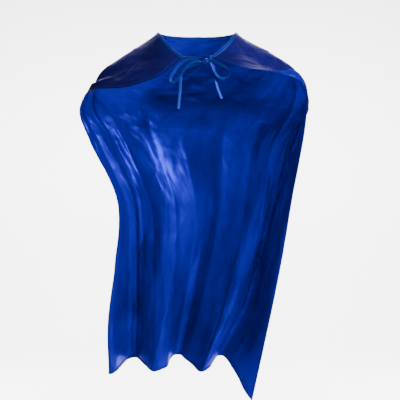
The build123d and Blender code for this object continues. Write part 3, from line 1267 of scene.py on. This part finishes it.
    def lead(self, side: Side) -> bpy.types.Object:
        """The end of the binding, a curve from the cape's edge over a low crest into the knot.

        Args:
            side: the lead's side.

        Returns:
            The lead.
        """
        tape, _, out = self.surface.binding_frames(side.value * np.array([self.lead_start, 1.0]))
        low, high = np.array(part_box("bow_knot"))
        middle = (low + high) / 2
        back, down = self.lead_entry
        knot_side = np.array([high[0] if side is Side.RIGHT else low[0], middle[1] + back, high[2] + down])
        inside = middle + np.array(self.lead_end) * [side.value, 1, 1]
        crest = (tape[1] + knot_side) / 2 + np.array(self.lead_crest)
        line = smooth_path(np.stack([tape[0], tape[1], crest, knot_side, inside]), 60)
        share = smooth_step(np.linspace(0, 1, len(line)) * 1.2)[:, None]
        square = np.cross(line[1] - line[0], out[1])
        lean = unit(square * -np.sign(square[2])) * (1 - share) + np.array([0.0, -0.25, -1.0]) * share
        wide, thick = path_frames(line, lean)
        return self.ribbon(
            f"lead_{side.word}",
            line,
            wide,
            thick,
            width=self.surface.binding_width,
            thickness=self.strand_thickness,
            squareness=3.0,
            pinch=1 - self.lead_gather * smooth_step(np.linspace(-0.2, 1, len(line))),
        )

    def strand(self, name: str, side: float, depth: float) -> bpy.types.Object:
        """A gathered band that crosses the knot slantwise.

        Args:
            name: the strand's name.
            side: 1 to run towards +X, -1 to run towards -X.
            depth: how far behind the knot's middle it starts, as a share of half the knot's depth.

        Returns:
            The strand.
        """
        low, high = np.array(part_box("bow_knot"))
        middle, half = (low + high) / 2, (high - low) / 2
        shares = [(-side * 1.0, 0.3, 0.55), (-side * 0.55, depth, 0.35), (0.0, depth - 0.35, 0.0),
                  (side * 0.55, depth - 0.2, -0.2), (side * 0.98, -0.35, -0.15)]
        line = smooth_path(middle + np.array(shares) * half, 50)
        wide, thick = path_frames(line, np.tile([0.0, 0.12, 1.0], (50, 1)))
        gather = 0.72 + 0.16 * np.cos(np.linspace(-np.pi, np.pi, 50))
        return self.ribbon(
            name,
            line,
            wide,
            thick,
            width=self.width * self.strand_width,
            thickness=self.strand_thickness,
            squareness=2.6,
            pinch=gather,
        )

    def knot(self) -> list[bpy.types.Object]:
        """The knot: two gathered bands that cross, the turn of ribbon that binds them, and its core.

        Returns:
            The pieces of the knot.
        """
        low, high = np.array(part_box("bow_knot"))
        middle, half = (low + high) / 2, (high - low) / 2
        pieces = [self.strand("knot_under", 1.0, 0.1), self.strand("knot_over", -1.0, -0.35)]

        turn = np.linspace(0, 2 * np.pi, 72)
        radial = np.stack([np.zeros(72), np.sin(turn) * 0.86, np.cos(turn) * 0.93], -1) * half
        slide = np.cos(turn) * half[2] * self.turn_slant
        line = middle + radial + np.array([1.0, 0, 0]) * slide[:, None]
        wide, thick = path_frames(line, np.tile([1.0, 0.0, -self.turn_slant], (72, 1)))
        gather = 0.80 + 0.10 * np.sin(turn * 2 + 0.7)
        look = {"thickness": self.turn_thickness, "squareness": 3.0, "pinch": gather}
        pieces.append(self.ribbon("knot_turn", line, wide, thick, **look))

        swell = np.linspace(-1, 1, 40)
        line = middle + np.stack([swell * half[0] * 0.72, np.zeros(40), np.zeros(40)], -1)
        wide, thick = path_frames(line, np.tile([0.0, 0.0, 1.0], (40, 1)))
        look = {"width": half[2] * 1.35, "thickness": half[1] * 1.2, "squareness": 2.2}
        fat = np.sqrt(np.maximum(1 - swell**2 * 0.72, 0.05))
        pieces.append(self.ribbon("knot_core", line, wide, thick, pinch=fat, **look))
        return pieces

    def tail_top(self, side: Side) -> bpy.types.Object:
        """The ribbon behind a loop, from the knot down to its tail.

        Args:
            side: the tail's side.

        Returns:
            The top of the tail.
        """
        depth = self.middle_of(f"tie_tail_{side.word}")[1]
        line = smooth_path(self.flat_line(self.tail_tops[side], depth), 70)
        place = np.linspace(0, 1, len(line))
        rise = self.middle_of("bow_knot")[1] - depth
        line[:, 1] += (1 - smooth_step(place / self.tail_drop)) * rise
        line[:, 1] -= self.tail_lap * smooth_step(place / self.tail_lap_reach)
        turn = np.radians(self.tail_turn[side][0]) * smooth_step(place * 1.3)
        gather = 1 - self.tail_gather * (1 - smooth_step(place / self.tail_gather_reach))
        return self.ribbon(f"tail_top_{side.word}", line, *self.turned(line, turn), pinch=gather)

    def route(self, side: Side) -> Array:
        """Points along the tail, read from a NURBS spline shaped by its route.

        Args:
            side: the tail's side.

        Returns:
            The points in metres, (n, 3).
        """
        depth = self.middle_of(f"tie_tail_{side.word}")[1]
        corners = self.flat_line(self.tail_lines[side], depth)
        curve = bpy.data.curves.new(f"route_{side.word}", "CURVE")
        curve.dimensions = "3D"
        curve.resolution_u = 14
        spline = curve.splines.new("NURBS")
        spline.points.add(len(corners) - 1)
        for point, corner in zip(spline.points, corners):
            point.co = (*corner, 1.0)
        spline.order_u = 3
        spline.use_endpoint_u = True
        guide = bpy.data.objects.new(f"route_{side.word}", curve)
        line = bpy.data.meshes.new_from_object(guide)
        found = np.empty(len(line.vertices) * 3)
        line.vertices.foreach_get("co", found)
        bpy.data.meshes.remove(line)
        bpy.data.objects.remove(guide)
        bpy.data.curves.remove(curve)
        return found.reshape(-1, 3)

    def tail(self, side: Side) -> tuple[bpy.types.Object, Array]:
        """One hanging tail, which turns a little on its way down.

        Args:
            side: the tail's side.

        Returns:
            The tail and the line that it follows.
        """
        line = self.route(side)
        place = np.linspace(0, 1, len(line))
        first, last = self.tail_turn[side]
        turn = np.radians(first + (last - first) * smooth_step(place))
        return self.ribbon(f"tail_{side.word}", line, *self.turned(line, turn)), line


# ---------------------------------------------------------------- stage


@dataclass(frozen=True)
class SoftLight:
    """A white area light that points at a place."""

    name: str
    place: Place
    size: float
    power: float
    target: Place = (0.0, 0.0, -0.45)

    def build(self) -> None:
        """Add the light to the scene."""
        data = bpy.data.lights.new(self.name, "AREA")
        data.shape = "DISK"
        data.size = self.size
        data.energy = self.power
        lamp = bpy.data.objects.new(self.name, data)
        lamp.location = self.place
        aim = Vector(self.target) - Vector(self.place)
        lamp.rotation_euler = aim.to_track_quat("-Z", "Y").to_euler()
        bpy.context.scene.collection.objects.link(lamp)


@dataclass
class Studio:
    """A pale floor that sweeps up into a backdrop, a level camera and soft lights.

    The floor reaches to the front, and its bend starts at the back and ends in the backdrop.
    """

    floor_height: float = -1.5
    lens: float = 66.2
    camera_place: Place = (0.008, -2.0, -0.41)
    floor_front: float = -7.0
    floor_back: float = 3.2
    floor_bend: float = 1.2
    floor_half: float = 7.0
    backdrop_top: float = 5.0
    paint: tuple[float, float, float, float] = (0.93, 0.93, 0.93, 1.0)
    world: tuple[float, float, float, float] = (0.96, 0.97, 1.0, 1.0)
    world_strength: float = 0.25
    lights: tuple[SoftLight, ...] = (
        SoftLight("key", (1.8, -1.5, 0.65), 0.7, 115.0, (0.0, 0.0, -0.25)),
        SoftLight("fill", (-2.4, -2.0, 0.6), 1.6, 4.0),
        SoftLight("top", (-0.3, -0.6, 2.2), 1.2, 5.0, (0.0, 0.0, -0.2)),
        SoftLight("rim", (1.4, 2.4, 1.0), 1.0, 22.0),
        SoftLight("backdrop_left", (-1.8, 1.6, 0.4), 2.0, 340.0, (-0.8, 4.4, -0.4)),
        SoftLight("backdrop_right", (1.8, 1.6, 0.4), 2.0, 340.0, (0.8, 4.4, -0.4)),
        SoftLight("floor_wash", (0.0, 1.3, 0.9), 2.0, 110.0, (0.0, 2.2, -1.5)),
    )

    def floor(self) -> bpy.types.Object:
        """The floor and backdrop: a profile of a line, a quarter circle and a line, carried sideways.

        Returns:
            The floor.
        """
        turn = np.linspace(0, np.pi / 2, 14)
        away = self.floor_back + self.floor_bend * np.sin(turn)
        up = self.floor_height + self.floor_bend * (1 - np.cos(turn))
        front = [self.floor_front, self.floor_height]
        top = [self.floor_back + self.floor_bend, self.backdrop_top]
        profile = np.concatenate([[front], np.stack([away, up], -1), [top]])
        sides = np.array([[-self.floor_half, self.floor_half]])
        points = np.stack(np.broadcast_arrays(sides, profile[:, :1], profile[:, 1:]), -1)
        graph = Graph("floor_paint")
        place = graph.node("ShaderNodeTexCoord", {}, {}, "Object")
        rough = 0.7 + (graph.noise(place, 3.0, 3.0) - 0.5) * 0.1
        inputs = {"Base Color": self.paint, "Roughness": rough, "Specular IOR Level": 0.1}
        surface = graph.node("ShaderNodeBsdfPrincipled", {}, inputs, "BSDF")
        graph.node("ShaderNodeOutputMaterial", {}, {"Surface": surface})
        faces = grid_faces(len(profile), 2)
        places = points[..., :2].reshape(-1, 2)
        return make_mesh("floor", points.reshape(-1, 3), faces, places, graph.material)

    def build(self) -> None:
        """Add the floor, the world, the lights and the camera."""
        scene = bpy.context.scene
        self.floor()
        sky = bpy.data.worlds.new("studio")
        sky.use_nodes = True
        background = sky.node_tree.nodes["Background"]
        background.inputs["Color"].default_value = self.world
        background.inputs["Strength"].default_value = self.world_strength
        scene.world = sky
        for light in self.lights:
            light.build()
        data = bpy.data.cameras.new("camera")
        data.lens = self.lens
        camera = bpy.data.objects.new("camera", data)
        camera.location = self.camera_place
        camera.rotation_euler = (math.pi / 2, 0.0, 0.0)
        scene.collection.objects.link(camera)
        scene.camera = camera


# ---------------------------------------------------------------- the whole cape

HEM_EDGES = (  # name, side, span of along or across, length, samples
    HemEdge("left", Side.LEFT, (0.0, 0.990), 1.16, 300),
    HemEdge("right", Side.RIGHT, (0.0, 0.990), 1.22, 300),
    HemEdge("bottom", None, (-0.9995, 0.9995), 0.66, 280),
)
LOOP_BODY = {Side.LEFT: Body.BOW_LEFT, Side.RIGHT: Body.BOW_RIGHT}
TAIL_BODY = {Side.LEFT: Body.TAIL_LEFT, Side.RIGHT: Body.TAIL_RIGHT}


def bend_at_swing(piece: bpy.types.Object) -> None:
    """Bake a piece's place into its mesh, without splitting it at the swing line or attaching it to a body.
    """
    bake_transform(piece)


def log_piece(piece: bpy.types.Object) -> bpy.types.Object:
    """Report one finished piece by its name and its number of faces."""
    LOG.info("%s: %d faces", piece.name, len(piece.data.polygons))
    return piece


def build_cloth(surface: CapeSurface, thread: bpy.types.Material, ribbon: bpy.types.Material) -> None:
    """Make the sheet, its hems and its binding, and hide the CAD parts that they replace.

    Args:
        surface: the cape's surface with its relief.
        thread: the sewing thread's material.
        ribbon: the binding's material.
    """
    sheet = CapeCloth(surface, FACE_SATIN_PAINTED_SHADE.material(), BACK_SATIN_PAINTED_LIGHT.material())
    cloth = log_piece(sheet.build())
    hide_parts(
        "shoulder_left", "upper_back", "shoulder_right", "lower_side_left", "lower_back_left",
        "lower_back", "lower_back_right", "lower_side_right",
    )
    bend_at_swing(cloth)

    hems = Hems(surface, HEM_SATIN.material(), thread)
    for edge in HEM_EDGES:
        fold, stitches = log_piece(hems.strip(edge)), log_piece(hems.stitches(edge))
        sides = [f"front_edge_hem_{edge.name}_{half}" for half in ("upper", "lower")]
        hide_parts(*(sides if edge.side else ["bottom_hem"]))
        for piece in (fold, stitches):
            if edge.side is None:
                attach(piece, Body.LOWER_CAPE.value)
            else:
                bend_at_swing(piece)

    binding = NeckBinding(surface, ribbon, thread)
    tape, stitches = log_piece(binding.tape()), log_piece(binding.stitches())
    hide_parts("neck_binding")
    for piece in (tape, stitches):
        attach(piece, Body.SHOULDERS.value)


def build_bow(surface: CapeSurface, ribbon: bpy.types.Material) -> None:
    """Make the bow and its tails.

    Args:
        surface: the cape's surface, which the leads start from.
        ribbon: the ribbon's material.
    """
    bow = RibbonBow(surface, ribbon)
    knot = bow.knot()
    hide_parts("bow_knot")
    for piece in knot:
        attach(log_piece(piece), Body.SHOULDERS.value)
    for side in Side:
        loop_body, tail_body = LOOP_BODY[side].value, TAIL_BODY[side].value
        lead, loop, top = bow.lead(side), bow.loop(side), bow.tail_top(side)
        tail, line = bow.tail(side)
        for piece, body, node in (
            (lead, Body.SHOULDERS.value, f"tie_lead_{side.word}"),
            (loop, loop_body, f"bow_loop_{side.word}"),
            (top, loop_body, f"tie_tail_{side.word}_top"),
            (tail, tail_body, f"tie_tail_{side.word}"),
        ):
            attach(log_piece(piece), body)
            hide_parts(node)


def main() -> None:
    """Build the camera and stage, then the cape, and report each piece."""
    logging.basicConfig(level=logging.INFO, format="%(name)s: %(message)s")
    Studio().build()
    surface = CapeSurface()
    ClothRelief(surface).apply()
    thread, ribbon = THREAD.material(), RIBBON_SATIN.material()
    build_cloth(surface, thread, ribbon)
    build_bow(surface, ribbon)


if __name__ == "__main__":
    main()
